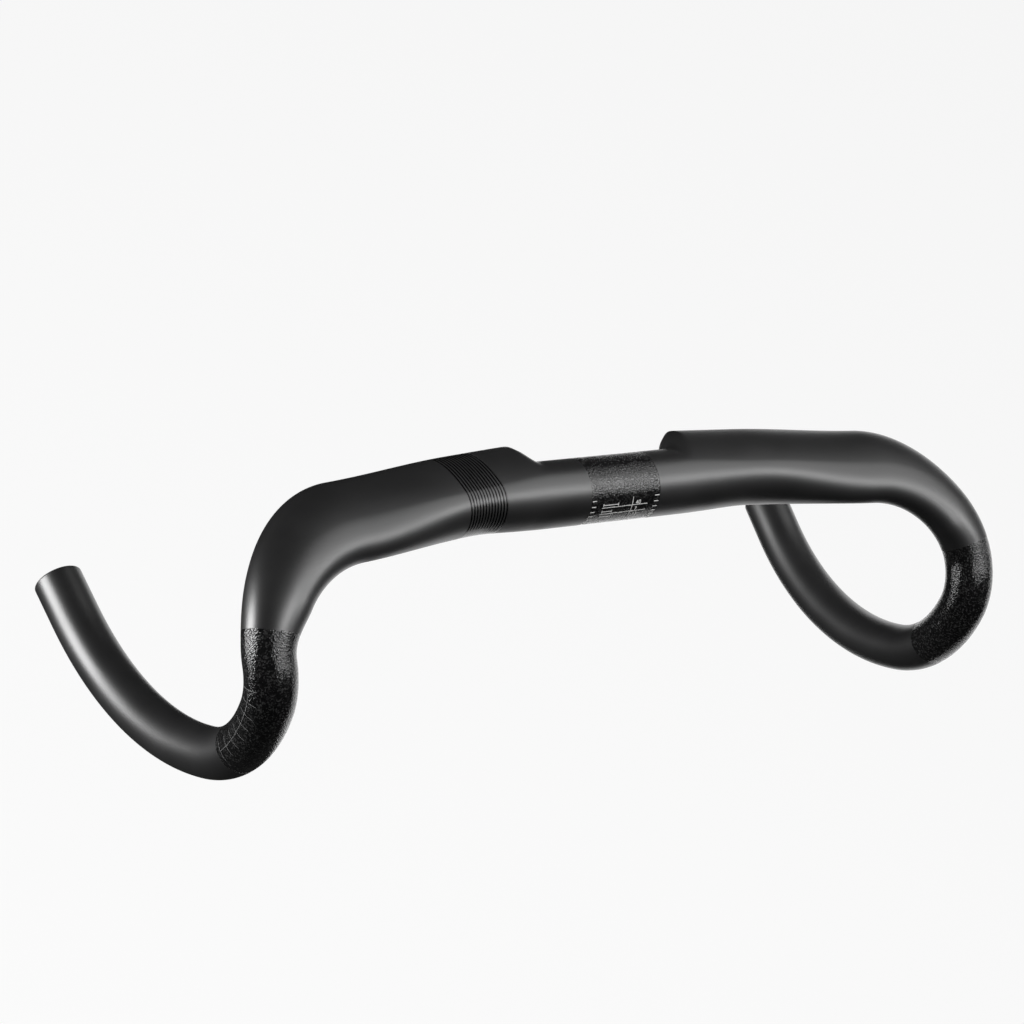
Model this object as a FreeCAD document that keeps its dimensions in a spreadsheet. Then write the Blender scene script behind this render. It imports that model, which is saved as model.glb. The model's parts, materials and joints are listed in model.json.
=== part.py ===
"""Drop handlebar, moulded in one piece.

A round clamp in the middle runs through a shoulder into wing-shaped tops. Past the corner the wing
has become a round tube, which curls down and back into the drop. The bar is hollow, with open ends.

Frame: origin in the middle of the clamp, X along the clamp, -Y forward, Z up. The right half is built
and mirrored. Its tube carries a frame of its own: X along the centreline, Y to the rear, Z to the top.
"""
import FreeCAD, Part
import math
import os
import Sketcher

NODE = "handlebar"

# Driving dimensions in millimetres and degrees: name, number, meaning.
# A bend's roll is the direction it turns to, measured round the tube from its rear to its top.
DIMENSIONS = (
    ("clamp_diameter", "31.8", "round centre that a stem grips"),
    ("clamp_length", "80", "length of the round centre between the shoulders"),
    ("drop_diameter", "23.8", "round tube of the drops"),
    ("wall", "2", "wall of the moulding"),
    ("top_bend_radius", "80", "bend where the tops leave the clamp"),
    ("top_bend_turn", "8.3", "forward sweep and rise of the tops"),
    ("top_bend_roll", "156", "forward and slightly up"),
    ("top_straight", "98", "straight length of the tops"),
    ("corner_radius", "61", "first bend from the tops towards the lever"),
    ("corner_turn", "45.4", "turn of the first bend"),
    ("corner_roll", "-145", "forward and down"),
    ("ramp_radius", "44.5", "second, tighter bend towards the lever"),
    ("ramp_turn", "44.5", "turn of the second bend"),
    ("ramp_roll", "-137.6", "forward and a little further down"),
    ("drop_roll", "-56.5", "plane of the drop, flared outwards"),
    ("hook_radius", "29", "first bend of the drop, under the lever"),
    ("hook_turn", "42.6", "turn of the first bend"),
    ("belly_radius", "65", "middle bend of the drop"),
    ("belly_turn", "52.8", "turn of the middle bend"),
    ("tail_radius", "144", "last, slow bend of the drop"),
    ("tail_turn", "50.6", "turn of the last bend"),
    ("grip_length", "22", "straight end of the drop"),
    ("end_round", "0.8", "rounding of the open end's outer edge"),
    ("shoulder_length", "7", "length in which the rear edge steps out of the clamp"),
    ("blend_length", "42", "length in which the other sides leave the clamp"),
    ("rear_settled", "8", "the wing's rear edge has drawn in this far before the drop"),
    ("front_fade", "30", "length before the drop in which the front edge draws in"),
    ("inner_front", "12.3", "wing beside the shoulder: centreline to front edge"),
    ("inner_rear", "28.8", "wing beside the shoulder: centreline to rear edge"),
    ("inner_height", "28.5", "wing beside the shoulder: thickness"),
    ("outer_front", "16.3", "wing at the corner: centreline to front edge"),
    ("outer_rear", "27", "wing at the corner: centreline to rear edge"),
    ("outer_height", "21.2", "wing at the corner: thickness"),
    ("wing_tilt", "2.8", "rear edge of the wing raised by this angle"),
    ("rear_fullness", "0.75", "weight of the wing's rear conics, 0.71 for an ellipse"),
)

# Numbers of loft sections in the shoulder, in the blend past it, along the wing and round the corner,
# and the growth of their spacing in each.
SPAN_SECTIONS = (6, 6, 6, 12)
SPAN_GROWTH = (1, 1.4, 1, 1)
# Weight of the middle pole that makes a conic quarter an ellipse.
ELLIPSE = math.sqrt(0.5)
# Largest gap that is closed where two pieces of the skin meet edge to edge.
SEAM = 0.001
AHEAD = FreeCAD.Vector(1, 0, 0)
# Turns a flat circle to lie across the tube.
ACROSS = FreeCAD.Placement(FreeCAD.Vector(), FreeCAD.Rotation(FreeCAD.Vector(0, 0, 1), AHEAD))

doc = FreeCAD.newDocument(NODE)
sizes = doc.addObject("Spreadsheet::Sheet", "sizes")
for row, (name, number, meaning) in enumerate(DIMENSIONS, start=1):
    sizes.set(f"A{row}", meaning)
    sizes.set(f"B{row}", number)
    sizes.setAlias(f"B{row}", name)
doc.recompute()

size = {name: float(sizes.get(name)) for name, number, meaning in DIMENSIONS}
clamp_radius = size["clamp_diameter"] / 2
drop_radius = size["drop_diameter"] / 2


def bend_length(bend):
    """Length of the centreline in a named bend."""
    return size[bend + "_radius"] * math.radians(size[bend + "_turn"])


# Runs of the centreline from the middle of the clamp to the start of the drop: length, bend radius
# (none for a straight run) and roll.
clamp_end = size["clamp_length"] / 2
TOPS = (
    (clamp_end, None, 0),
    (bend_length("top_bend"), size["top_bend_radius"], size["top_bend_roll"]),
    (size["top_straight"], None, 0),
    (bend_length("corner"), size["corner_radius"], size["corner_roll"]),
    (bend_length("ramp"), size["ramp_radius"], size["ramp_roll"]),
)
DROP_BENDS = ("hook", "belly", "tail")
shoulder_end = clamp_end + size["shoulder_length"]
blend_end = clamp_end + size["blend_length"]
corner_start = clamp_end + bend_length("top_bend") + size["top_straight"]
drop_start = corner_start + bend_length("corner") + bend_length("ramp")


def move(length, radius, roll):
    """Placement of a run's far end in the frame of its near end."""
    if radius is None:
        return FreeCAD.Placement(FreeCAD.Vector(length, 0, 0), FreeCAD.Rotation())
    angle = length / radius
    side = FreeCAD.Vector(0, math.cos(math.radians(roll)), math.sin(math.radians(roll)))
    offset = AHEAD * (radius * math.sin(angle)) + side * (radius * (1 - math.cos(angle)))
    return FreeCAD.Placement(offset, FreeCAD.Rotation(AHEAD.cross(side), math.degrees(angle)))


def tops_frame(distance):
    """Frame of the tube at a distance along the centreline from the middle of the clamp."""
    frame = FreeCAD.Placement()
    for length, radius, roll in TOPS:
        step = min(distance, length)
        frame = frame * move(step, radius, roll)
        distance -= step
    return frame


def ease(distance, start, end):
    """Smooth step from 0 at start to 1 at end."""
    share = min(max((distance - start) / (end - start), 0.0), 1.0)
    return share * share * (3 - 2 * share)


def wing_wire(distance, inset):
    """Section of the tops: four conic quarters between the rear, top, front and bottom edges."""
    shoulder = ease(distance, clamp_end, shoulder_end)
    sides = ease(distance, clamp_end, blend_end)
    outward = ease(distance, blend_end, corner_start)
    rear_round = ease(distance, corner_start, drop_start - size["rear_settled"])
    front_round = ease(distance, drop_start - size["front_fade"], drop_start)
    even_round = ease(distance, corner_start, drop_start)

    def blend(at_clamp, inner, outer, at_drop, leaving, rounding):
        wing = at_clamp + (inner - at_clamp) * leaving + (outer - inner) * outward
        return wing + (at_drop - wing) * rounding

    def edge(inner, outer, leaving, rounding):
        return blend(clamp_radius, inner, outer, drop_radius, leaving, rounding) - inset

    front = edge(size["inner_front"], size["outer_front"], sides, front_round)
    rear = edge(size["inner_rear"], size["outer_rear"], shoulder, rear_round)
    top = edge(size["inner_height"] / 2, size["outer_height"] / 2, sides, even_round)
    full = size["rear_fullness"]
    fullness = blend(ELLIPSE, full, full, ELLIPSE, shoulder, even_round)
    tilt = blend(0, size["wing_tilt"], size["wing_tilt"], 0, sides, even_round)

    corners = [(rear, 0), (0, top), (-front, 0), (0, -top)]
    controls = [(rear, top), (-front, top), (-front, -top), (rear, -top)]
    weights = [fullness, ELLIPSE, ELLIPSE, fullness]
    points = [FreeCAD.Vector(0, y, z) for y, z in corners]
    quarters = []
    for k in range(4):
        conic = Part.BezierCurve()
        conic.setPoles([points[k], FreeCAD.Vector(0, *controls[k]), points[(k + 1) % 4]])
        conic.setWeight(2, weights[k])
        quarters.append(conic.toShape())
    wire = Part.Wire(quarters)
    tilted = FreeCAD.Placement(FreeCAD.Vector(), FreeCAD.Rotation(AHEAD, tilt))
    wire.Placement = tops_frame(distance) * tilted
    return wire


def section_distances():
    """Distances of the loft's sections, closest together in the shoulder."""
    limits = (clamp_end, shoulder_end, blend_end, corner_start, drop_start)
    distances = [clamp_end]
    for start, end, count, growth in zip(limits, limits[1:], SPAN_SECTIONS, SPAN_GROWTH):
        steps = [growth**k for k in range(count)]
        distances += [start + (end - start) * sum(steps[: k + 1]) / sum(steps) for k in range(count)]
    return distances


def grip_frame(distance):
    """Frame of the tube at a distance along the straight end of the drop."""
    frame = tops_frame(drop_start)
    for bend in DROP_BENDS:
        frame = frame * move(bend_length(bend), size[bend + "_radius"], size["drop_roll"])
    return frame * move(distance, None, 0)


def bind(sketch, constraint, label, formula):
    """Add a constraint whose value follows the sheet."""
    number = sketch.addConstraint(constraint)
    sketch.renameConstraint(number, label)
    sketch.setExpression("Constraints." + label, formula)


def drop_sketch():
    """Centreline of the drop up to its lip: three tangent arcs and a straight end, in one flared plane."""
    sketch = doc.addObject("Sketcher::SketchObject", "drop_path")
    flare = FreeCAD.Rotation(AHEAD, size["drop_roll"])
    sketch.Placement = tops_frame(drop_start) * FreeCAD.Placement(FreeCAD.Vector(), flare)
    point, heading = FreeCAD.Vector(), 0.0
    for index, bend in enumerate(DROP_BENDS):
        radius, turn = size[bend + "_radius"], math.radians(size[bend + "_turn"])
        centre = point + FreeCAD.Vector(-math.sin(heading), math.cos(heading), 0) * radius
        circle = Part.Circle(centre, FreeCAD.Vector(0, 0, 1), radius)
        start = heading - math.pi / 2
        sketch.addGeometry(Part.ArcOfCircle(circle, start, start + turn), False)
        heading += turn
        point = centre + FreeCAD.Vector(math.sin(heading), -math.cos(heading), 0) * radius
        size_of_arc = Sketcher.Constraint("Radius", index, radius)
        turn_of_arc = Sketcher.Constraint("Angle", index, turn)
        bind(sketch, size_of_arc, bend + "_radius", f"sizes.{bend}_radius * 1 mm")
        bind(sketch, turn_of_arc, bend + "_turn", f"sizes.{bend}_turn * 1 deg")
        if index:
            sketch.addConstraint(Sketcher.Constraint("Tangent", index - 1, 2, index, 1))
    sketch.addConstraint(Sketcher.Constraint("Coincident", 0, 1, -1, 1))
    sketch.addConstraint(Sketcher.Constraint("PointOnObject", 0, 3, -2))
    length = size["grip_length"] - size["end_round"]
    tip = point + FreeCAD.Vector(math.cos(heading), math.sin(heading), 0) * length
    grip = sketch.addGeometry(Part.LineSegment(point, tip), False)
    sketch.addConstraint(Sketcher.Constraint("Tangent", grip - 1, 2, grip, 1))
    straight = Sketcher.Constraint("Distance", grip, length)
    bind(sketch, straight, "grip_length", "(sizes.grip_length - sizes.end_round) * 1 mm")
    return sketch


def lip_sketch():
    """Half section of the open end: rounded outer edge, flat end and the last of the bore."""
    rounding, bore = size["end_round"], drop_radius - size["wall"]
    sketch = doc.addObject("Sketcher::SketchObject", "lip_profile")
    sketch.Placement = grip_frame(size["grip_length"] - rounding)
    centre = FreeCAD.Vector(0, drop_radius - rounding, 0)
    circle = Part.Circle(centre, FreeCAD.Vector(0, 0, 1), rounding)
    inner_edge = FreeCAD.Vector(rounding, bore, 0)
    edge = sketch.addGeometry(Part.ArcOfCircle(circle, 0, math.pi / 2), False)
    end = sketch.addGeometry(Part.LineSegment(centre + AHEAD * rounding, inner_edge), False)
    wall = sketch.addGeometry(Part.LineSegment(inner_edge, FreeCAD.Vector(0, bore, 0)), False)
    for kind, *where in (
        ("PointOnObject", edge, 3, -2),
        ("PointOnObject", edge, 2, -2),
        ("Tangent", edge, 1, end, 1),
        ("Vertical", end),
        ("Coincident", end, 2, wall, 1),
        ("Horizontal", wall),
        ("PointOnObject", wall, 2, -2),
    ):
        sketch.addConstraint(Sketcher.Constraint(kind, *where))
    bind(sketch, Sketcher.Constraint("Radius", edge, rounding), "end_round", "sizes.end_round * 1 mm")
    bore_height = Sketcher.Constraint("DistanceY", -1, 1, wall, 2, bore)
    bind(sketch, bore_height, "bore", "(sizes.drop_diameter / 2 - sizes.wall) * 1 mm")
    thickness = Sketcher.Constraint("DistanceY", wall, 2, edge, 2, size["wall"])
    bind(sketch, thickness, "wall", "sizes.wall * 1 mm")
    return sketch


def ring(name, frame, formula):
    """Circle across the tube whose radius follows the sheet."""
    circle = doc.addObject("Part::Circle", name)
    circle.setExpression("Radius", formula)
    circle.Placement = frame * ACROSS
    return circle


def section(name, wire):
    """Document object that holds one section of the tops."""
    holder = doc.addObject("Part::Feature", name)
    holder.Shape = wire
    return holder


def skin(name, inset, path):
    """Clamp, and tops and drop of the right half, as surfaces set in by the named size."""
    depth, less = (size[inset], f" - sizes.{inset}") if inset else (0, "")
    clamp = doc.addObject("Part::Extrusion", name + "_clamp")
    clamp.Base = ring(name + "_clamp_ring", tops_frame(clamp_end), "sizes.clamp_diameter / 2" + less)
    clamp.DirMode = "Custom"
    clamp.Dir = -AHEAD
    clamp.setExpression("LengthFwd", "sizes.clamp_length")

    tops = doc.addObject("Part::Loft", name + "_tops")
    tops.Sections = [
        section(f"{name}_section_{k}", wing_wire(distance, depth))
        for k, distance in enumerate(section_distances())
    ]
    tops.Solid = False

    drop = doc.addObject("Part::Sweep", name + "_drop")
    drop.Sections = [ring(name + "_drop_ring", tops_frame(drop_start), "sizes.drop_diameter / 2" + less)]
    drop.Spine = (path, [f"Edge{k}" for k in range(1, path.GeometryCount + 1)])
    drop.Solid = False
    return clamp, [tops, drop]


def lip(profile):
    """Open end of the drop, turned about the tube's axis."""
    turned = doc.addObject("Part::Revolution", "lip")
    turned.Source = profile
    turned.Base = profile.Placement.Base
    turned.Axis = profile.Placement.Rotation.multVec(AHEAD)
    turned.Angle = 360
    turned.Solid = False
    return turned


def mirrored(half):
    """Left twin of a piece of the right half."""
    twin = doc.addObject("Part::Mirroring", half.Name + "_left")
    twin.Source = half
    twin.Normal = AHEAD
    return twin


def moulding(pieces):
    """Solid between the outer and the inner skin, which the lips join."""
    shell = Part.makeCompound([face for piece in pieces for face in piece.Shape.Faces])
    shell.sewShape(SEAM)
    solid = Part.makeSolid(shell.Shells[0])
    if solid.Volume < 0:
        solid.reverse()
    return solid


drop_path = drop_sketch()
lip_profile = lip_sketch()
doc.recompute()
outer_clamp, outer_halves = skin("outside", None, drop_path)
inner_clamp, inner_halves = skin("inside", "wall", drop_path)
halves = outer_halves + inner_halves + [lip(lip_profile)]
twins = [mirrored(half) for half in halves]
doc.recompute()

handlebar = doc.addObject("Part::Feature", NODE)
handlebar.Label = NODE
handlebar.Shape = moulding([outer_clamp, inner_clamp] + halves + twins)
handlebar.Placement = FreeCAD.Placement()
doc.recompute()

for item in doc.Objects:
    if "Invalid" in item.State or "Error" in item.State:
        raise RuntimeError(f"{item.Name} did not build")
if handlebar.Shape.isNull() or not handlebar.Shape.isValid() or len(handlebar.Shape.Solids) != 1:
    raise RuntimeError("the handlebar is not one sound solid")

os.makedirs("parts", exist_ok=True)
handlebar.Shape.exportStep(f"parts/{handlebar.Label}.step")
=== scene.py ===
import json
from math import cos, radians, sin, sqrt

import bpy
import numpy as np
from bpy.props import FloatProperty, FloatVectorProperty, IntProperty, PointerProperty
from mathutils import Matrix, Vector


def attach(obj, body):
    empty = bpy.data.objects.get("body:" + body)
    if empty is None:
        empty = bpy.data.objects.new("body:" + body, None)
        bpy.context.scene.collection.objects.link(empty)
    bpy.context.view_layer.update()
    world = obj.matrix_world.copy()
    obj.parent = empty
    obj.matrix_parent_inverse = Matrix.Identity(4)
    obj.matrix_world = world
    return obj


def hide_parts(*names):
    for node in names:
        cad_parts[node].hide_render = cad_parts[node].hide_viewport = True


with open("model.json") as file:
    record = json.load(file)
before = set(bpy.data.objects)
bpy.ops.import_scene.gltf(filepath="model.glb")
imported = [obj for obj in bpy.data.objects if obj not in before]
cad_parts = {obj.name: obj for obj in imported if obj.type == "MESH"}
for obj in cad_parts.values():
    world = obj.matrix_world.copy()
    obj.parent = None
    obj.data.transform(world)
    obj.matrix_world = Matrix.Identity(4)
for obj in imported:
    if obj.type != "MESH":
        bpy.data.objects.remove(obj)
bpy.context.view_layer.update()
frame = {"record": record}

bl_info = {
    "name": "Drop Handlebar",
    "version": (1, 0, 0),
    "blender": (4, 5, 0),
    "location": "View3D > Sidebar > Handlebar",
    "description": "Builds a moulded drop handlebar with gritty grip bands, and its studio",
    "category": "Add Mesh",
}

# Weight at which a conic is a quarter of an ellipse
ELLIPSE = sqrt(0.5)

# Runs of the centreline that come before the corner, and before the drop
RUNS_TO_CORNER = 3
RUNS_TO_DROP = 5

# Rounding error allowed where two runs meet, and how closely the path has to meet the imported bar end
ROUNDING = 1e-9
PATH_TOLERANCE = 0.0001

# Meshes: the angle past which an edge stays sharp, the rings of a rounded end, the bevel of the bore's
# lip, the distance between the bore's rings, and the length of the skin's step at the edge of a band
SHARP_ANGLE = radians(60)
END_RINGS = 7
LIP_BEVEL = 0.0002
BORE_STEP = 0.004
BAND_STEP = 0.00003

# Shell of a band, in shares of the recess that it lies in: how far its edges lap over the skin, the depth
# of its inside and the depth of the inside's edges; then the rings of its inside and of a smooth outside
SHELL_LAP = 0.2
SHELL_DEPTH = 1.3
SHELL_EDGE_DEPTH = 0.5
SHELL_BACK_RINGS = 12
SMOOTH_RINGS = 32

# Seeds of the grains
GRIT_SEEDS = {"clamp_grip": 3, "lever_grip_right": 5, "lever_grip_left": 7}

# Values that most of Blender's noise lies between
NOISE_RANGE = (0.3, 0.7)

# Places of a Mix node's two inputs and its output, for numbers and for colours
MIX_SOCKETS = {"FLOAT": (2, 3, 0), "RGBA": (6, 7, 2)}

# Steps along a printed stroke, and the small turn and length that its surface normal is taken from
STROKE_STEPS = 8
NORMAL_TURN = 0.001
NORMAL_LENGTH = 0.0001

# Clamp print, in metres along the bar and quarter turns round it: turns of the alignment ticks, ruled
# lines of the table, its rows (figure, turn that it stands on, length of its dimension line), and the left
# ends of its figures and dimension lines
TICK_TURNS = 1.655 + 0.118 * np.arange(6)
TABLE_RULES = (
    (-0.0132, 1.815, 0.0130, 1.805),
    (-0.0132, 1.970, 0.0130, 1.955),
    (0.0042, 1.640, 0.0042, 2.150),
)
TABLE_ROWS = (("40", 1.790, 0.0085), ("7", 1.938, 0.0055), ("13", 2.085, 0.0060))
FIGURES_LEFT = 0.0062
LINES_LEFT = -0.0125

# Lever scale: its number of ticks, the turns that they run between, and the turn of its long line
SCALE_TICKS = 8
SCALE_TURNS = (0.15, 0.66)
SCALE_LINE_TURN = 0.40

# Strokes of plain numerals in a box of 1 x 1, and the box's width and spacing in shares of its height
NUMERALS = {
    "0": [(0.25, 0, 0.75, 0), (0.75, 0, 1, 0.3), (1, 0.3, 1, 0.7), (1, 0.7, 0.75, 1), (0.75, 1, 0.25, 1),
          (0.25, 1, 0, 0.7), (0, 0.7, 0, 0.3), (0, 0.3, 0.25, 0)],
    "1": [(0.2, 0.75, 0.55, 1), (0.55, 1, 0.55, 0)],
    "3": [(0, 0.15, 0.3, 0), (0.3, 0, 0.8, 0), (0.8, 0, 1, 0.25), (1, 0.25, 0.75, 0.52),
          (0.75, 0.52, 0.4, 0.52), (0.75, 0.52, 0.95, 0.76), (0.95, 0.76, 0.7, 1), (0.7, 1, 0.05, 0.9)],
    "4": [(0.75, 0, 0.75, 1), (0.75, 1, 0, 0.3), (0, 0.3, 1, 0.3)],
    "7": [(0, 1, 1, 1), (1, 1, 0.4, 0)],
}
NUMERAL_WIDTH = 0.55
NUMERAL_SPACING = 0.85

# Lamps: name, direction from the clamp, distance, width and height, brightness, and whether it lights matt
# surfaces or only shows in reflections
LAMPS = (
    ("lamp_key", (0.20, -0.53, 0.82), 1.5, (0.60, 0.60), 11, True),
    ("lamp_front", (0.68, -0.42, 0.60), 1.5, (0.40, 0.40), 9.5, True),
    ("lamp_broad", (0.55, -0.05, 0.80), 1.6, (1.4, 1.4), 2.0, True),
    ("lamp_left", (-0.92, 0.35, -0.06), 1.5, (0.50, 0.85), 20, True),
    ("card_right", (0.80, 0.27, -0.53), 1.0, (1.2, 1.2), 1.6, False),
)


class BarShape(bpy.types.PropertyGroup):
    """Sizes of the moulded bar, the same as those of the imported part."""

    drop_radius: FloatProperty(
        name="Drop radius", description="Outer radius of the round drops", default=0.0119, unit="LENGTH")
    top_radius: FloatProperty(
        name="Top bend radius", description="Bend between the clamp and the tops", default=0.080,
        unit="LENGTH")
    top_turn: FloatProperty(
        name="Top bend turn", description="Angle of that bend", default=radians(8.3), unit="ROTATION")
    top_roll: FloatProperty(
        name="Top bend roll", description="Direction it turns to, from rear to top", default=radians(156),
        unit="ROTATION")
    top_straight: FloatProperty(
        name="Top straight", description="Straight part of each top", default=0.098, unit="LENGTH")
    corner_radius: FloatProperty(
        name="Corner radius", description="First bend of the corner", default=0.061, unit="LENGTH")
    corner_turn: FloatProperty(
        name="Corner turn", description="Angle of the first bend", default=radians(45.4), unit="ROTATION")
    corner_roll: FloatProperty(
        name="Corner roll", description="Direction the first bend turns to", default=radians(-145),
        unit="ROTATION")
    ramp_radius: FloatProperty(
        name="Ramp radius", description="Second bend of the corner", default=0.0445, unit="LENGTH")
    ramp_turn: FloatProperty(
        name="Ramp turn", description="Angle of the second bend", default=radians(44.5), unit="ROTATION")
    ramp_roll: FloatProperty(
        name="Ramp roll", description="Direction the second bend turns to", default=radians(-137.6),
        unit="ROTATION")
    drop_roll: FloatProperty(
        name="Drop roll", description="Direction all bends of the drop turn to", default=radians(-56.5),
        unit="ROTATION")
    hook_radius: FloatProperty(
        name="Hook radius", description="Bend behind the levers", default=0.029, unit="LENGTH")
    hook_turn: FloatProperty(
        name="Hook turn", description="Angle of the hook", default=radians(42.6), unit="ROTATION")
    belly_radius: FloatProperty(
        name="Belly radius", description="Bend at the front of the drop", default=0.065, unit="LENGTH")
    belly_turn: FloatProperty(
        name="Belly turn", description="Angle of the belly", default=radians(52.8), unit="ROTATION")
    tail_radius: FloatProperty(
        name="Tail radius", description="Long bend under the drop", default=0.144, unit="LENGTH")
    tail_turn: FloatProperty(
        name="Tail turn", description="Angle of the tail", default=radians(50.6), unit="ROTATION")
    end_round: FloatProperty(
        name="End round", description="Rounding of the open ends", default=0.0008, unit="LENGTH")
    shoulder_length: FloatProperty(
        name="Shoulder length", description="Length of the shoulder behind the clamp", default=0.007,
        unit="LENGTH")
    blend_length: FloatProperty(
        name="Blend length", description="Length in which the clamp becomes a wing", default=0.042,
        unit="LENGTH")
    rear_settled: FloatProperty(
        name="Rear settled", description="Length of ramp whose rear is already round", default=0.008,
        unit="LENGTH")
    front_fade: FloatProperty(
        name="Front fade", description="Length in which the wing's front becomes round", default=0.030,
        unit="LENGTH")
    inner_front: FloatProperty(
        name="Inner front", description="Wing in front of the centreline, near the clamp", default=0.0123,
        unit="LENGTH")
    inner_rear: FloatProperty(
        name="Inner rear", description="Wing behind the centreline, near the clamp", default=0.0288,
        unit="LENGTH")
    inner_height: FloatProperty(
        name="Inner height", description="Wing's height near the clamp", default=0.0285, unit="LENGTH")
    outer_front: FloatProperty(
        name="Outer front", description="Wing in front of the centreline, at the corner", default=0.0163,
        unit="LENGTH")
    outer_rear: FloatProperty(
        name="Outer rear", description="Wing behind the centreline, at the corner", default=0.027,
        unit="LENGTH")
    outer_height: FloatProperty(
        name="Outer height", description="Wing's height at the corner", default=0.0212, unit="LENGTH")
    wing_tilt: FloatProperty(
        name="Wing tilt", description="Rise of the wing's rear", default=radians(2.8), unit="ROTATION")
    rear_fullness: FloatProperty(
        name="Rear fullness", description="Weight of the conics behind the centreline", default=0.75)
    row_step: FloatProperty(
        name="Row step", description="Largest distance between rings of the mesh", default=0.0018,
        unit="LENGTH")
    columns: IntProperty(name="Columns", description="Points round each ring", default=96, min=16)


class BandShape(bpy.types.PropertyGroup):
    """Places and grit of the bands for the stem and the levers, and place of the dark hoops."""

    clamp_half: FloatProperty(
        name="Clamp band", description="Half the length of the band in the middle", default=0.0197,
        unit="LENGTH")
    lever_start: FloatProperty(
        name="Lever band start", description="Distance along the bar from its middle", default=0.2190,
        unit="LENGTH")
    lever_end: FloatProperty(
        name="Lever band end", description="Distance along the bar from its middle", default=0.2868,
        unit="LENGTH")
    recess: FloatProperty(
        name="Recess", description="Depth of the skin under a band", default=0.00030, unit="LENGTH")
    grit_depth: FloatProperty(
        name="Grit depth", description="Height of the grains", default=0.00006, unit="LENGTH")
    grit_size: FloatProperty(
        name="Grit size", description="Distance from one grain to the next", default=0.0010, unit="LENGTH")
    grit_step: FloatProperty(
        name="Grit step", description="Distance between points of a gritty mesh", default=0.0003,
        unit="LENGTH")
    hoop_start: FloatProperty(
        name="Hoops start", description="Distance along the left half from the middle", default=0.0690,
        unit="LENGTH")
    hoop_end: FloatProperty(
        name="Hoops end", description="Distance along the left half from the middle", default=0.0915,
        unit="LENGTH")


class PrintShape(bpy.types.PropertyGroup):
    """Sizes of the printed marks."""

    thickness: FloatProperty(
        name="Thickness", description="Thickness of the ink", default=0.00012, unit="LENGTH")
    tick_start: FloatProperty(
        name="Tick start", description="From the clamp band's edge to a tick", default=0.0005, unit="LENGTH")
    tick_end: FloatProperty(
        name="Tick end", description="From the clamp band's edge to a tick's far end", default=0.0030,
        unit="LENGTH")
    tick_width: FloatProperty(
        name="Tick width", description="Width of an alignment tick", default=0.00042, unit="LENGTH")
    rule_width: FloatProperty(
        name="Rule width", description="Width of the table's lines", default=0.00034, unit="LENGTH")
    figure_width: FloatProperty(
        name="Figure stroke", description="Width of a figure's strokes", default=0.00036, unit="LENGTH")
    figure_height: FloatProperty(
        name="Figure height", description="Height of the figures", default=0.0018, unit="LENGTH")
    line_height: FloatProperty(
        name="Line ends", description="Height of a dimension line's ends", default=0.0016, unit="LENGTH")
    scale_width: FloatProperty(
        name="Scale stroke", description="Width of the lever scale's strokes", default=0.00024,
        unit="LENGTH")
    scale_margin: FloatProperty(
        name="Scale margin", description="From the lever band's end to the scale", default=0.003,
        unit="LENGTH")
    scale_pitch: FloatProperty(
        name="Scale pitch", description="Distance between the scale's ticks", default=0.006, unit="LENGTH")


class BarFinish(bpy.types.PropertyGroup):
    """Colours of the skin, the bands and the print, each between a darker and a lighter one."""

    satin_dark: FloatVectorProperty(
        name="Satin, darker", description="Satin skin", default=(0.010, 0.010, 0.0103), subtype="COLOR",
        min=0, max=1)
    satin_light: FloatVectorProperty(
        name="Satin, lighter", description="Satin skin", default=(0.013, 0.013, 0.0134), subtype="COLOR",
        min=0, max=1)
    grit_dark: FloatVectorProperty(
        name="Grit, darker", description="Grains of the grip bands", default=(0.004, 0.004, 0.0042),
        subtype="COLOR", min=0, max=1)
    # Lighter grit colour: pale specks painted into the grit, standing in for glints of light
    grit_painted_glint: FloatVectorProperty(
        name="Grit, lighter", description="Specks among the grains", default=(0.035, 0.035, 0.035),
        subtype="COLOR", min=0, max=1)
    ink_dark: FloatVectorProperty(
        name="Ink, darker", description="Print on the clamp", default=(0.62, 0.62, 0.61), subtype="COLOR",
        min=0, max=1)
    ink_light: FloatVectorProperty(
        name="Ink, lighter", description="Print on the clamp", default=(0.76, 0.76, 0.75), subtype="COLOR",
        min=0, max=1)
    scale_dark: FloatVectorProperty(
        name="Scale, darker", description="Print of the lever scales", default=(0.10, 0.10, 0.10),
        subtype="COLOR", min=0, max=1)
    scale_light: FloatVectorProperty(
        name="Scale, lighter", description="Print of the lever scales", default=(0.16, 0.16, 0.16),
        subtype="COLOR", min=0, max=1)
    hoop_colour: FloatVectorProperty(
        name="Hoops", description="Dark hoops on the left top", default=(0.010, 0.010, 0.0104),
        subtype="COLOR", min=0, max=1)
    hoop_roughness: FloatProperty(
        name="Hoop roughness", description="Roughness of the dark hoops", default=0.18, min=0, max=1)
    hoop_count: IntProperty(name="Hoop count", description="Number of dark hoops", default=13, min=1)


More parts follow.
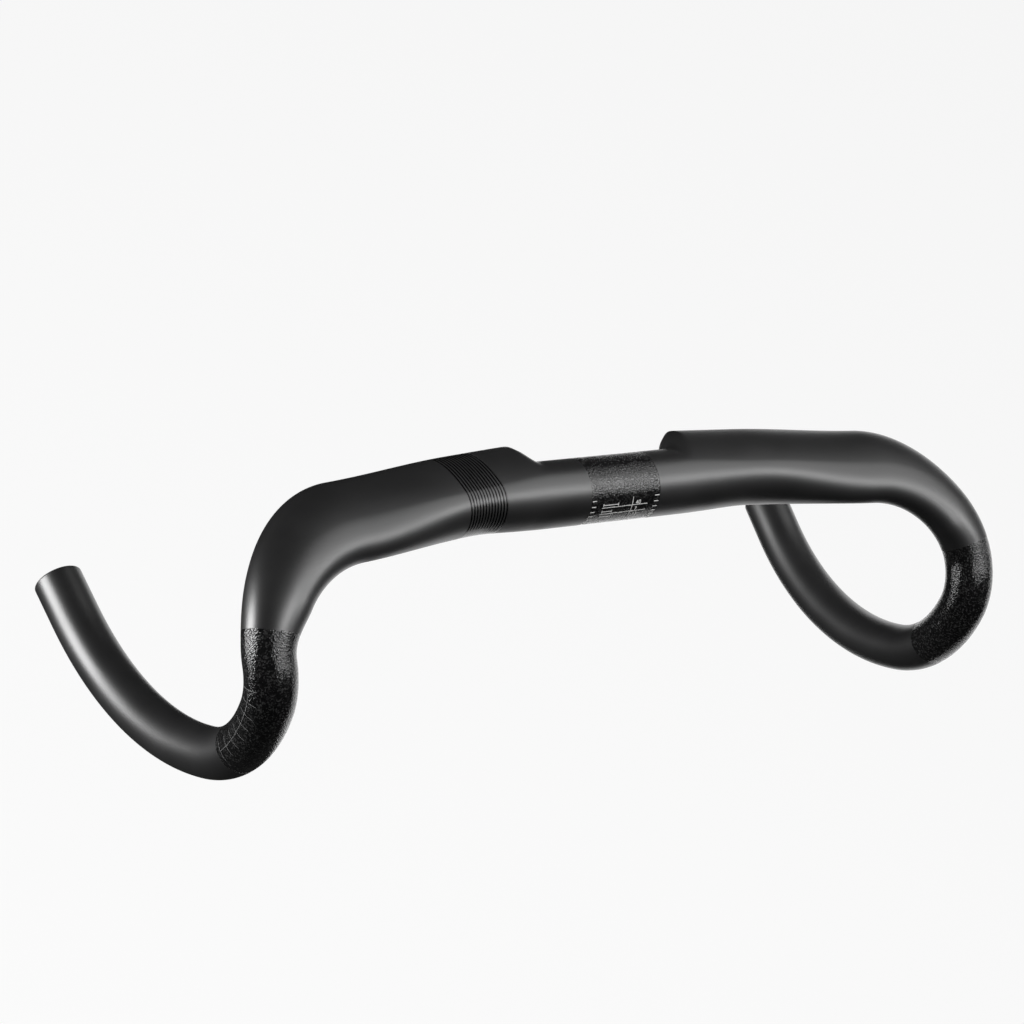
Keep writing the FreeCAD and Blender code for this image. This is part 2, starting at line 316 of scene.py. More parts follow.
class StudioLook(bpy.types.PropertyGroup):
    """Camera, floor and surround."""

    azimuth: FloatProperty(
        name="Azimuth", description="Camera's turn about Z, from the front", default=radians(-46.0188),
        unit="ROTATION")
    elevation: FloatProperty(
        name="Elevation", description="Camera's height as an angle", default=radians(40.8009),
        unit="ROTATION")
    roll: FloatProperty(
        name="Roll", description="Camera's turn about its view", default=radians(27.8702), unit="ROTATION")
    distance: FloatProperty(
        name="Distance", description="From the camera to its target", default=1.350757, unit="LENGTH")
    lens: FloatProperty(name="Lens", description="Focal length in millimetres", default=101.7956)
    target: FloatVectorProperty(
        name="Target", description="Point in the middle of the picture", default=(-0.049717, 0.0, -0.010038),
        subtype="TRANSLATION", unit="LENGTH")
    floor_height: FloatProperty(
        name="Floor height", description="Height of the floor, well below the held bar", default=-1.0,
        unit="LENGTH")
    floor_half: FloatProperty(
        name="Floor half", description="Half the side of the floor", default=40.0, unit="LENGTH")
    floor_colour: FloatVectorProperty(
        name="Floor", description="Floor as the camera sees it", default=(0.8, 0.8, 0.8), subtype="COLOR",
        min=0, max=1)
    floor_return: FloatVectorProperty(
        name="Floor return", description="Floor as it throws light back at the bar",
        default=(0.05, 0.05, 0.05), subtype="COLOR", min=0, max=1)
    floor_white: FloatProperty(
        name="Floor white", description="Share of plain white in the floor that the camera sees",
        default=0.90, subtype="FACTOR", min=0, max=1)
    fill: FloatProperty(
        name="Fill", description="Strength of the even light from all round", default=0.04, min=0)


def ease(distance, start, end):
    """Rises from 0 to 1 between two distances as 3 t^2 - 2 t^3."""
    t = np.clip((distance - start) / (end - start), 0, 1)
    return t * t * (3 - 2 * t)


def mount(name):
    """Place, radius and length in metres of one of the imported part's mounts."""
    for row in frame["record"]["mounts"]:
        if row["name"] == name:
            size = row["dims"]
            return np.array(row["pos_m"]), size["r_mm"] / 1000, size["length_mm"] / 1000
    raise RuntimeError("the record has no mount named " + name)


def bar_runs(shape):
    """Straights and bends of one half from the clamp's middle outward: (length, radius or 0, roll)."""
    bends = [
        (shape.top_radius, shape.top_turn, shape.top_roll),
        (shape.corner_radius, shape.corner_turn, shape.corner_roll),
        (shape.ramp_radius, shape.ramp_turn, shape.ramp_roll),
        (shape.hook_radius, shape.hook_turn, shape.drop_roll),
        (shape.belly_radius, shape.belly_turn, shape.drop_roll),
        (shape.tail_radius, shape.tail_turn, shape.drop_roll),
    ]
    runs = [(radius * turn, radius, roll) for radius, turn, roll in bends]
    runs.insert(1, (shape.top_straight, 0, 0))
    clamp_half, end_length = mount("stem_clamp")[2] / 2, mount("bar_end_right")[2]
    return [(clamp_half, 0, 0)] + runs + [(end_length, 0, 0)]


def half_length(shape):
    """Length of the centreline from the clamp's middle to a bar end."""
    return sum(run[0] for run in bar_runs(shape))


def along_run(run, distance):
    """Places and axes at distances along a run, in the frame of the run's start.

    A straight moves along X. A bend turns by the angle distance / radius towards the direction
    side = (0, cos roll, sin roll): it moves by radius sin(angle) along X and by radius (1 - cos(angle))
    along side, and its axes turn by that angle about X cross side.
    """
    radius, roll = run[1:]
    if not radius:
        place = np.stack([distance, 0 * distance, 0 * distance], -1)
        return place, np.broadcast_to(np.eye(3), (len(distance), 3, 3))
    angle = (distance / radius)[:, None]
    side = np.array([0, cos(roll), sin(roll)])
    place = radius * (np.sin(angle) * np.array([1, 0, 0]) + (1 - np.cos(angle)) * side)
    pole = np.cross([1, 0, 0], side)
    spin = np.cross(np.eye(3), pole)
    angle = angle[:, :, None]
    return place, np.eye(3) + np.sin(angle) * spin + (1 - np.cos(angle)) * (spin @ spin)


def centreline(shape, distance):
    """Points and axes (X along the bar, Y rear, Z top) at distances from the clamp's middle.

    Each run starts where the one before it ends, with that end's axes.
    """
    points = np.zeros((len(distance), 3))
    axes = np.zeros((len(distance), 3, 3))
    place, turn, start = np.zeros(3), np.eye(3), 0.0
    for run in bar_runs(shape):
        here = distance >= start - ROUNDING
        local, spin = along_run(run, distance[here] - start)
        points[here] = place + local @ turn.T
        axes[here] = turn @ spin
        local, spin = along_run(run, np.array([run[0]]))
        place, turn, start = place + turn @ local[0], turn @ spin[0], start + run[0]
    return points, axes


def proportions(shape, distance):
    """Front, rear, half height, rear fullness and tilt of the section at distances from the middle.

    Each goes from the clamp's value to the wing's at the clamp, then to the wing's at the corner and
    then to the drop's, by smooth steps that start and end at their own distances.
    """
    _, clamp_radius, clamp_length = mount("stem_clamp")
    runs = bar_runs(shape)
    clamp_end = clamp_length / 2
    corner = sum(run[0] for run in runs[:RUNS_TO_CORNER])
    drop = sum(run[0] for run in runs[:RUNS_TO_DROP])
    blend_end = clamp_end + shape.blend_length
    shoulder = ease(distance, clamp_end, clamp_end + shape.shoulder_length)
    sides = ease(distance, clamp_end, blend_end)
    outward = ease(distance, blend_end, corner)
    rear_round = ease(distance, corner, drop - shape.rear_settled)
    front_round = ease(distance, drop - shape.front_fade, drop)
    even_round = ease(distance, corner, drop)

    def change(at_clamp, inner, outer, at_drop, leaving, rounding):
        wing = at_clamp + (inner - at_clamp) * leaving + (outer - inner) * outward
        return wing + (at_drop - wing) * rounding

    tube = shape.drop_radius
    return (
        change(clamp_radius, shape.inner_front, shape.outer_front, tube, sides, front_round),
        change(clamp_radius, shape.inner_rear, shape.outer_rear, tube, shoulder, rear_round),
        change(clamp_radius, shape.inner_height / 2, shape.outer_height / 2, tube, sides, even_round),
        change(ELLIPSE, shape.rear_fullness, shape.rear_fullness, ELLIPSE, shoulder, even_round),
        change(0, shape.wing_tilt, shape.wing_tilt, 0, sides, even_round),
    )


def surface(shape, distance, turn, inset):
    """Grid of points, a row per distance along the bar and a column per quarter turn round it.

    A negative distance is on the left half, which mirrors the right one. Turn 0 is the rear, 1 the top,
    2 the front and 3 the bottom. Each quarter is a conic between two of these points: with t the part
    of the quarter, s = 1 - t and w the fullness, its shares are s^2 + 2 s t w and 2 s t w + t^2, over
    s^2 + 2 s t w + t^2. Inset takes its value off the section all round; the section then turns by its
    tilt and stands across the centreline.
    """
    front, rear, top, fullness, tilt = (value[:, None] for value in proportions(shape, np.abs(distance)))
    points, axes = centreline(shape, np.abs(distance))
    quarter = np.floor(turn).astype(int) % 4
    t = turn - np.floor(turn)
    s = 1 - t
    behind = (quarter == 0) | (quarter == 3)
    pull = 2 * s * t * np.where(behind, fullness, ELLIPSE)
    whole = s * s + pull + t * t
    leaving, arriving = (s * s + pull) / whole, (pull + t * t) / whole
    odd = quarter % 2 == 1
    y = np.where(behind, rear - inset, inset - front) * np.where(odd, arriving, leaving)
    z = np.where(quarter < 2, top - inset, inset - top) * np.where(odd, leaving, arriving)
    y, z = y * np.cos(tilt) - z * np.sin(tilt), y * np.sin(tilt) + z * np.cos(tilt)
    grid = points[:, None] + y[..., None] * axes[:, None, :, 1] + z[..., None] * axes[:, None, :, 2]
    grid[..., 0] *= np.where(distance < 0, -1, 1)[:, None]
    return grid


def ring_turns(columns):
    """Quarter turns of evenly spread points round a ring."""
    return np.arange(columns) * 4 / columns


def closed_piece(name, grid):
    """Object from a grid that closes on itself both ways, with its UV map along and round it."""
    rows, columns = grid.shape[:2]
    index = np.arange(rows * columns).reshape(rows, columns)
    onward = np.roll(index, -1, 0)
    quads = np.stack([index, np.roll(index, -1, 1), np.roll(onward, -1, 1), onward], -1).reshape(-1, 4)
    mesh = bpy.data.meshes.new(name)
    mesh.vertices.add(rows * columns)
    mesh.vertices.foreach_set("co", grid.astype(np.float32).ravel())
    mesh.loops.add(quads.size)
    mesh.loops.foreach_set("vertex_index", quads.astype(np.int32).ravel())
    mesh.polygons.add(len(quads))
    mesh.polygons.foreach_set("loop_start", np.arange(0, quads.size, 4, dtype=np.int32))
    step = np.linalg.norm(np.roll(grid, -1, 0) - grid, axis=-1).mean(1)
    along = np.concatenate([[0], np.cumsum(step)]) / step.sum()
    row, column = np.meshgrid(np.arange(rows), np.arange(columns), indexing="ij")
    corner_u = np.stack([along[row], along[row], along[row + 1], along[row + 1]], -1)
    corner_v = np.stack([column, column + 1, column + 1, column], -1) / columns
    layer = mesh.uv_layers.new(name="surface")
    layer.uv.foreach_set("vector", np.stack([corner_u, corner_v], -1).astype(np.float32).ravel())
    mesh.update(calc_edges=True)
    if mesh.validate():
        raise RuntimeError(name + " has faulty faces")
    mesh.shade_smooth()
    mesh.set_sharp_from_angle(angle=SHARP_ANGLE)
    piece = bpy.data.objects.new(name, mesh)
    bpy.context.collection.objects.link(piece)
    return piece


def settle(piece, material):
    """Gives a piece its material and the body that it moves with."""
    piece.data.materials.append(material)
    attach(piece, "root")


def grain_group():
    """Node group of fine uneven grain in Object coordinates.

    Mottle is broad smooth noise and Roughness follows it between two values. Height is fine smooth
    noise. Cells is the distance from the middle of a small cell, and Speck is one value for each cell.
    """
    group = bpy.data.node_groups.get("surface_grain")
    if group:
        return group
    group = bpy.data.node_groups.new("surface_grain", "ShaderNodeTree")
    for label, value in (("Scale", 2500.0), ("Mottle Scale", 60.0), ("Least Roughness", 0.40),
                         ("Most Roughness", 0.50)):
        socket = group.interface.new_socket(label, in_out="INPUT", socket_type="NodeSocketFloat")
        socket.default_value = value
    for label in ("Mottle", "Height", "Cells", "Speck", "Roughness"):
        group.interface.new_socket(label, in_out="OUTPUT", socket_type="NodeSocketFloat")
    nodes, links = group.nodes, group.links
    given, result = nodes.new("NodeGroupInput"), nodes.new("NodeGroupOutput")
    place = nodes.new("ShaderNodeTexCoord")
    fine = nodes.new("ShaderNodeTexNoise")
    fine.inputs["Detail"].default_value = 2.0
    broad = nodes.new("ShaderNodeTexNoise")
    broad.inputs["Detail"].default_value = 3.0
    cells = nodes.new("ShaderNodeTexVoronoi")
    for texture, scale in ((fine, "Scale"), (broad, "Mottle Scale"), (cells, "Scale")):
        links.new(place.outputs["Object"], texture.inputs["Vector"])
        links.new(given.outputs[scale], texture.inputs["Scale"])
    spread = nodes.new("ShaderNodeMapRange")
    spread.inputs["From Min"].default_value, spread.inputs["From Max"].default_value = NOISE_RANGE
    links.new(broad.outputs["Fac"], spread.inputs["Value"])
    links.new(given.outputs["Least Roughness"], spread.inputs["To Min"])
    links.new(given.outputs["Most Roughness"], spread.inputs["To Max"])
    chance = nodes.new("ShaderNodeSeparateColor")
    links.new(cells.outputs["Color"], chance.inputs["Color"])
    links.new(broad.outputs["Fac"], result.inputs["Mottle"])
    links.new(fine.outputs["Fac"], result.inputs["Height"])
    links.new(cells.outputs["Distance"], result.inputs["Cells"])
    links.new(chance.outputs["Red"], result.inputs["Speck"])
    links.new(spread.outputs["Result"], result.inputs["Roughness"])
    return group


def grain_material(name, dark, light, roughness, scale, mottle, height, refraction=1.5, relief="Height",
                   pattern="Mottle", spread=NOISE_RANGE):
    """Principled material whose colour, roughness and bump follow the grain group.

    Its colour goes from dark to light while the pattern goes through spread, and the relief, one of the
    group's outputs as the pattern is, stands as high as height.
    """
    material = bpy.data.materials.get(name)
    if material:
        return material
    material = bpy.data.materials.new(name)
    material.use_nodes = True
    nodes, links = material.node_tree.nodes, material.node_tree.links
    shader = nodes["Principled BSDF"]
    shader.inputs["IOR"].default_value = refraction
    grain = nodes.new("ShaderNodeGroup")
    grain.node_tree = grain_group()
    grain.inputs["Scale"].default_value = scale
    grain.inputs["Mottle Scale"].default_value = mottle
    grain.inputs["Least Roughness"].default_value = roughness[0]
    grain.inputs["Most Roughness"].default_value = roughness[1]
    tone = nodes.new("ShaderNodeValToRGB")
    for stop, position, colour in zip(tone.color_ramp.elements, spread, (dark, light)):
        stop.position = position
        stop.color = (*colour, 1)
    links.new(grain.outputs[pattern], tone.inputs["Fac"])
    links.new(tone.outputs["Color"], shader.inputs["Base Color"])
    links.new(grain.outputs["Roughness"], shader.inputs["Roughness"])
    bump = nodes.new("ShaderNodeBump")
    bump.inputs["Strength"].default_value = 1.0
    bump.inputs["Distance"].default_value = height
    links.new(grain.outputs[relief], bump.inputs["Height"])
    links.new(bump.outputs["Normal"], shader.inputs["Normal"])
    return material


def satin_material(finish):
    """Satin skin: nearly even black with a very fine grain."""
    return grain_material(
        "satin_black", finish.satin_dark, finish.satin_light, roughness=(0.37, 0.41), scale=2200, mottle=40,
        height=0.000002, refraction=1.7)


def grit_material(finish):
    """Glossy black grit: a cell for each small grain, and pale specks painted into a few cells as glints of
    light.
    """
    return grain_material(
        "gritty_black", finish.grit_dark, finish.grit_painted_glint, roughness=(0.08, 0.16), scale=1500, mottle=700,
        height=0.00015, relief="Cells", pattern="Speck", spread=(0.60, 0.95))


def ink_material(finish):
    """White print on the clamp, broken a little by the grit under it."""
    return grain_material(
        "white_ink", finish.ink_dark, finish.ink_light, roughness=(0.45, 0.60), scale=3000, mottle=900,
        height=0.00001)


def scale_material(finish):
    """Grey print of the lever scales."""
    return grain_material(
        "grey_ink", finish.scale_dark, finish.scale_light, roughness=(0.40, 0.55), scale=3000, mottle=900,
        height=0.00001)


def mixed(tree, kind, share, first, second):
    """Output of a new Mix node, FLOAT or RGBA, that goes from first to second with share.

    Share is a socket, and so is first or second where it isn't a plain value.
    """
    mix = tree.nodes.new("ShaderNodeMix")
    mix.data_type = kind
    near, far, result = MIX_SOCKETS[kind]
    tree.links.new(share, mix.inputs[0])
    for place, given in ((near, first), (far, second)):
        if isinstance(given, bpy.types.NodeSocket):
            tree.links.new(given, mix.inputs[place])
        else:
            mix.inputs[place].default_value = given
    return mix.outputs[result]


def hoop_material(finish):
    """Satin black with dark hoops that mirror next to nothing, spread evenly over the attribute across.

    The attribute times the number of hoops goes to and fro between 0 and a half, and the hoops are where
    that is over about a quarter. They are a dark metal in the shader, so that only their colour mirrors.
    """
    material = bpy.data.materials.get("dark_hoops")
    if material:
        return material
    material = satin_material(finish).copy()
    material.name = "dark_hoops"
    nodes, links = material.node_tree.nodes, material.node_tree.links
    shader = nodes["Principled BSDF"]
    place = nodes.new("ShaderNodeAttribute")
    place.attribute_name = "across"
    count = nodes.new("ShaderNodeMath")
    count.operation = "MULTIPLY"
    count.inputs[1].default_value = finish.hoop_count
    links.new(place.outputs["Fac"], count.inputs[0])
    sway = nodes.new("ShaderNodeMath")
    sway.operation = "PINGPONG"
    sway.inputs[1].default_value = 0.5
    links.new(count.outputs["Value"], sway.inputs[0])
    hoop = nodes.new("ShaderNodeMapRange")
    hoop.interpolation_type = "SMOOTHSTEP"
    hoop.inputs["From Min"].default_value = 0.24
    hoop.inputs["From Max"].default_value = 0.29
    links.new(sway.outputs["Value"], hoop.inputs["Value"])
    mask = hoop.outputs["Result"]
    links.new(mask, shader.inputs["Metallic"])
    for label, kind, hooped in (("Base Color", "RGBA", (*finish.hoop_colour, 1)),
                                ("Roughness", "FLOAT", finish.hoop_roughness)):
        satin = shader.inputs[label].links[0].from_socket
        links.new(mixed(material.node_tree, kind, mask, satin, hooped), shader.inputs[label])
    return material


def band_ranges(band):
    """Distances along the bar, from the left end to the right one, that the bands cover."""
    return [
        (-band.lever_end, -band.lever_start),
        (-band.hoop_end, -band.hoop_start),
        (-band.clamp_half, band.clamp_half),
        (band.lever_start, band.lever_end),
    ]


def skin_rows(shape, band):
    """Distances and insets of the rings of the whole bar: outer skin, rounded ends and bore.

    The outer skin runs from the left end to the right one, each rounded by a quarter circle, and steps
    in under the bands, where rings that come too near a step are moved away from it. The bore runs back
    at the wall's depth.
    """
    length = half_length(shape)
    wall = shape.drop_radius - mount("bar_end_right")[1]
    edge = shape.end_round
    arc = np.radians(np.linspace(0, 90, END_RINGS))
    straight = length - edge
    count = int(np.ceil(2 * straight / shape.row_step))
    distance = np.linspace(-straight, straight, count + 1)
    inset = np.zeros(count + 1)
    near, clear = 4 * BAND_STEP, 8 * BAND_STEP
    for start, end in band_ranges(band):
        distance = np.where(np.abs(distance - start) < near, start - clear, distance)
        distance = np.where(np.abs(distance - end) < near, end + clear, distance)
        inside = (distance > start) & (distance < end)
        inset = np.where(inside, band.recess, inset)
        distance = np.concatenate([distance, [start, start + BAND_STEP, end - BAND_STEP, end]])
        inset = np.concatenate([inset, [0, band.recess, band.recess, 0]])
    order = np.argsort(distance, kind="stable")
    distance, inset = distance[order], inset[order]
    round_off = straight + edge * np.sin(arc[1:])
    round_in = edge * (1 - np.cos(arc[1:]))
    lip = np.array([length, length, length - LIP_BEVEL])
    lip_in = np.array([wall - LIP_BEVEL, wall - LIP_BEVEL / 3, wall])
    bore_half = length - 4 * LIP_BEVEL
    back = np.linspace(bore_half, -bore_half, int(np.ceil(2 * length / BORE_STEP)))
    distance = np.concatenate([-round_off[::-1], distance, round_off, lip, back, -lip[::-1]])
    inset = np.concatenate([round_in[::-1], inset, round_in, lip_in, np.full(len(back), wall), lip_in[::-1]])
    return distance, inset


def grit_height(rows, columns, step, size, seed):
    """Height from 0 to 1 of grains on a grid of points a step apart: seeded noise, filtered to size.

    The noise is multiplied in frequency space by (k size)^2 exp(-(k size)^2), which leaves grains that
    are about size apart, and little that is broader. Their heights are 0.5 + 0.5 tanh of the result over
    its standard deviation, which flattens the tops.
    """
    noise = np.random.default_rng(seed).standard_normal((rows, columns))
    k = np.hypot(np.fft.fftfreq(rows, step)[:, None], np.fft.fftfreq(columns, step)[None])
    lumps = np.fft.ifft2(np.fft.fft2(noise) * (k * size) ** 2 * np.exp(-(k * size) ** 2)).real
    lumps = lumps / lumps.std()
    return 0.5 + 0.5 * np.tanh(lumps)


def shell(name, shape, band, start, end, turn, height):
    """Thin closed shell round the bar between two distances, in the skin's recess.

    Its outside is the bar's surface, lowered by the grit's depth times (1 - height), and its first and
    last rings lap over the skin's edges and dip under them. Its inside lies just below the recess and
    rises at its edges. The attribute across goes from 0 at the start to 1 at the end.
    """
    lap = SHELL_LAP * band.recess
    distance = np.linspace(start - lap, end + lap, len(height))
    lowered = band.grit_depth * (1 - height)
    lowered[[0, -1]] = lap
    outside = surface(shape, distance, turn, lowered)
    back = np.concatenate([[end, end], np.linspace(end, start, SHELL_BACK_RINGS)[1:-1], [start, start]])
    depth = np.full((len(back), 1), SHELL_DEPTH * band.recess)
    depth[[0, -1]] = SHELL_EDGE_DEPTH * band.recess
    inside = surface(shape, back, turn, depth)
    piece = closed_piece(name, np.concatenate([outside, inside]))
    across = (np.concatenate([distance, back]) - start) / (end - start)
    layer = piece.data.attributes.new("across", "FLOAT", "POINT")
    layer.data.foreach_set("value", np.repeat(across, len(turn)).astype(np.float32))
    return piece


def gritty_band(name, scene, start, end):
    """Band between two distances, covered with grains."""
    shape, band = scene.handlebar_shape, scene.handlebar_bands
    rows = int(np.ceil((end - start) / band.grit_step))
    radius = mount("stem_clamp")[1] if start < 0 < end else shape.drop_radius
    columns = int(np.ceil(2 * np.pi * radius / band.grit_step))
    height = grit_height(rows, columns, band.grit_step, band.grit_size, GRIT_SEEDS[name])
    piece = shell(name, shape, band, start, end, ring_turns(columns), height)
    settle(piece, grit_material(scene.handlebar_finish))


def surface_frame(shape, place):
    """Points and outward normals of the bar's surface at rows of (distance, quarter turn).

    A normal is the cross product of a small move round the bar and a small move along it.
    """

    def at(distance, turn):
        return surface(shape, distance, turn[:, None], 0.0)[:, 0]

    distance, turn = place[:, 0], place[:, 1]
    point = at(distance, turn)
    normal = np.cross(at(distance, turn + NORMAL_TURN) - point, at(distance + NORMAL_LENGTH, turn) - point)
    return point, normal / np.linalg.norm(normal, axis=1, keepdims=True)


def print_strokes(name, shape, strokes, width, thickness, material):
    """Flat printed strokes on the bar's surface, each a thin closed strip.

    A stroke goes straight from (distance, turn) to (distance, turn), in metres and quarter turns. Its
    strip has a cross-section of four corners, half the width to each side and half the thickness above
    and below the surface, which is carried along the stroke in a few steps.
    """
    ends = np.array(strokes, float).reshape(-1, 2, 2)
    count, rings = len(ends), STROKE_STEPS + 1
    t = np.linspace(0, 1, rings)[None, :, None]
    line = ends[:, :1] * (1 - t) + ends[:, 1:] * t
    points, normals = (rows.reshape(count, rings, 3) for rows in surface_frame(shape, line.reshape(-1, 2)))
    along = np.gradient(points, axis=1)
    side = np.cross(normals, along)
    side /= np.linalg.norm(side, axis=-1, keepdims=True)
    corner = np.array([(-1, -1), (1, -1), (1, 1), (-1, 1)]) / 2
    ring = (points[:, :, None] + corner[:, :1] * width * side[:, :, None]
            + corner[:, 1:] * thickness * normals[:, :, None])
    index = np.arange(count * rings * 4).reshape(count, rings, 4)
    near, far = index[:, :-1], index[:, 1:]
    walls = np.stack([near, np.roll(near, -1, 2), np.roll(far, -1, 2), far], -1).reshape(-1, 4)
    caps = np.concatenate([index[:, 0, ::-1], index[:, -1]])
    mesh = bpy.data.meshes.new(name)
    mesh.from_pydata(ring.reshape(-1, 3), [], np.concatenate([walls, caps]))
    piece = bpy.data.objects.new(name, mesh)
    bpy.context.collection.objects.link(piece)
    settle(piece, material)


def numeral_strokes(text, left, base, height, quarter):
    """Strokes of plain numerals that stand on a turn and read along the bar; quarter is a turn's length."""
    strokes = []
    for place, digit in enumerate(text):
        start = left + place * height * NUMERAL_SPACING
        for x0, y0, x1, y1 in NUMERALS[digit]:
            strokes.append((start + x0 * height * NUMERAL_WIDTH, base - y0 * height / quarter,
                            start + x1 * height * NUMERAL_WIDTH, base - y1 * height / quarter))
    return strokes


class HANDLEBAR_OT_skin(bpy.types.Operator):
    """Build the moulded bar with its bore"""

    bl_idname = "handlebar.skin"
    bl_label = "Moulded Bar"

    def execute(self, context):
        shape, band = context.scene.handlebar_shape, context.scene.handlebar_bands
        seat, _, end_length = mount("bar_end_right")
        points, _ = centreline(shape, np.array([half_length(shape) - end_length]))
        if np.abs(points[0] - seat).max() > PATH_TOLERANCE:
            raise RuntimeError("the bar's path does not meet the packed bar end")
        distance, inset = skin_rows(shape, band)
        grid = surface(shape, distance, ring_turns(shape.columns), inset[:, None])
        piece = closed_piece("bar_skin", grid)
        settle(piece, satin_material(context.scene.handlebar_finish))
        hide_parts("handlebar")
        return {"FINISHED"}


class HANDLEBAR_OT_clamp_grip(bpy.types.Operator):
    """Build the gritty band that the stem holds"""

    bl_idname = "handlebar.clamp_grip"
    bl_label = "Clamp Grip"

    def execute(self, context):
        band = context.scene.handlebar_bands
        gritty_band("clamp_grip", context.scene, -band.clamp_half, band.clamp_half)
        return {"FINISHED"}


class HANDLEBAR_OT_clamp_marks(bpy.types.Operator):
    """Print the alignment ticks and the ruled table of sizes on the clamp band"""

    bl_idname = "handlebar.clamp_marks"
    bl_label = "Clamp Marks"

    def execute(self, context):
        shape, ink = context.scene.handlebar_shape, context.scene.handlebar_print
        white = ink_material(context.scene.handlebar_finish)
        edge = context.scene.handlebar_bands.clamp_half
        ticks = [(side * (edge - ink.tick_start), turn, side * (edge - ink.tick_end), turn)
                 for turn in TICK_TURNS for side in (-1, 1)]
        print_strokes("clamp_ticks", shape, ticks, ink.tick_width, ink.thickness, white)
        print_strokes("clamp_rules", shape, TABLE_RULES, ink.rule_width, ink.thickness, white)
        quarter = mount("stem_clamp")[1] * np.pi / 2
        rise = ink.line_height / quarter
        figures, lines = [], []
        for text, base, reach in TABLE_ROWS:
            figures += numeral_strokes(text, FIGURES_LEFT, base, ink.figure_height, quarter)
            left, right = LINES_LEFT, LINES_LEFT + reach
            lines += [(left, base, left, base - rise), (right, base, right, base - rise),
                      (left, base - rise / 2, right, base - rise / 2)]
        print_strokes("clamp_figures", shape, figures + lines, ink.figure_width, ink.thickness, white)
        return {"FINISHED"}


class HANDLEBAR_OT_lever_grips(bpy.types.Operator):
    """Build the gritty bands that the levers are clamped on"""

    bl_idname = "handlebar.lever_grips"
    bl_label = "Lever Grips"

    def execute(self, context):
        band = context.scene.handlebar_bands
        gritty_band("lever_grip_right", context.scene, band.lever_start, band.lever_end)
        gritty_band("lever_grip_left", context.scene, -band.lever_end, -band.lever_start)
        return {"FINISHED"}


class HANDLEBAR_OT_lever_scales(bpy.types.Operator):
    """Print the lever scales on the outer sides of the lever bands"""

    bl_idname = "handlebar.lever_scales"
    bl_label = "Lever Scales"

    def execute(self, context):
        shape, ink = context.scene.handlebar_shape, context.scene.handlebar_print
        grey = scale_material(context.scene.handlebar_finish)
        first = context.scene.handlebar_bands.lever_end - ink.scale_margin
        low, high = SCALE_TURNS
        for name, side in (("lever_scale_right", 1), ("lever_scale_left", -1)):
            places = side * (first - ink.scale_pitch * np.arange(SCALE_TICKS))
            strokes = [(place, low, place, high) for place in places]
            strokes.append((places[0], SCALE_LINE_TURN, places[-1], SCALE_LINE_TURN))
            print_strokes(name, shape, strokes, ink.scale_width, ink.thickness, grey)
        return {"FINISHED"}


class HANDLEBAR_OT_hoops(bpy.types.Operator):
    """Build the band of dark hoops on the left top"""

    bl_idname = "handlebar.hoops"
    bl_label = "Dark Hoops"

    def execute(self, context):
        shape, band = context.scene.handlebar_shape, context.scene.handlebar_bands
        turn, level = ring_turns(shape.columns), np.ones((SMOOTH_RINGS, shape.columns))
        piece = shell("dark_hoops", shape, band, -band.hoop_end, -band.hoop_start, turn, level)
        settle(piece, hoop_material(context.scene.handlebar_finish))
        return {"FINISHED"}


def soft_box(name, direction, distance, size, brightness, lights):
    """Rectangular lamp that faces the clamp from a direction; its power is pi x area x brightness."""
    data = bpy.data.lights.new(name, "AREA")
    data.shape = "RECTANGLE"
    data.size, data.size_y = size
    data.energy = np.pi * size[0] * size[1] * brightness
    lamp = bpy.data.objects.new(name, data)
    lamp.location = Vector(direction).normalized() * distance
    lamp.rotation_euler = lamp.location.to_track_quat("Z", "Y").to_euler()
    lamp.visible_camera = False
    lamp.visible_diffuse = lights
    bpy.context.collection.objects.link(lamp)


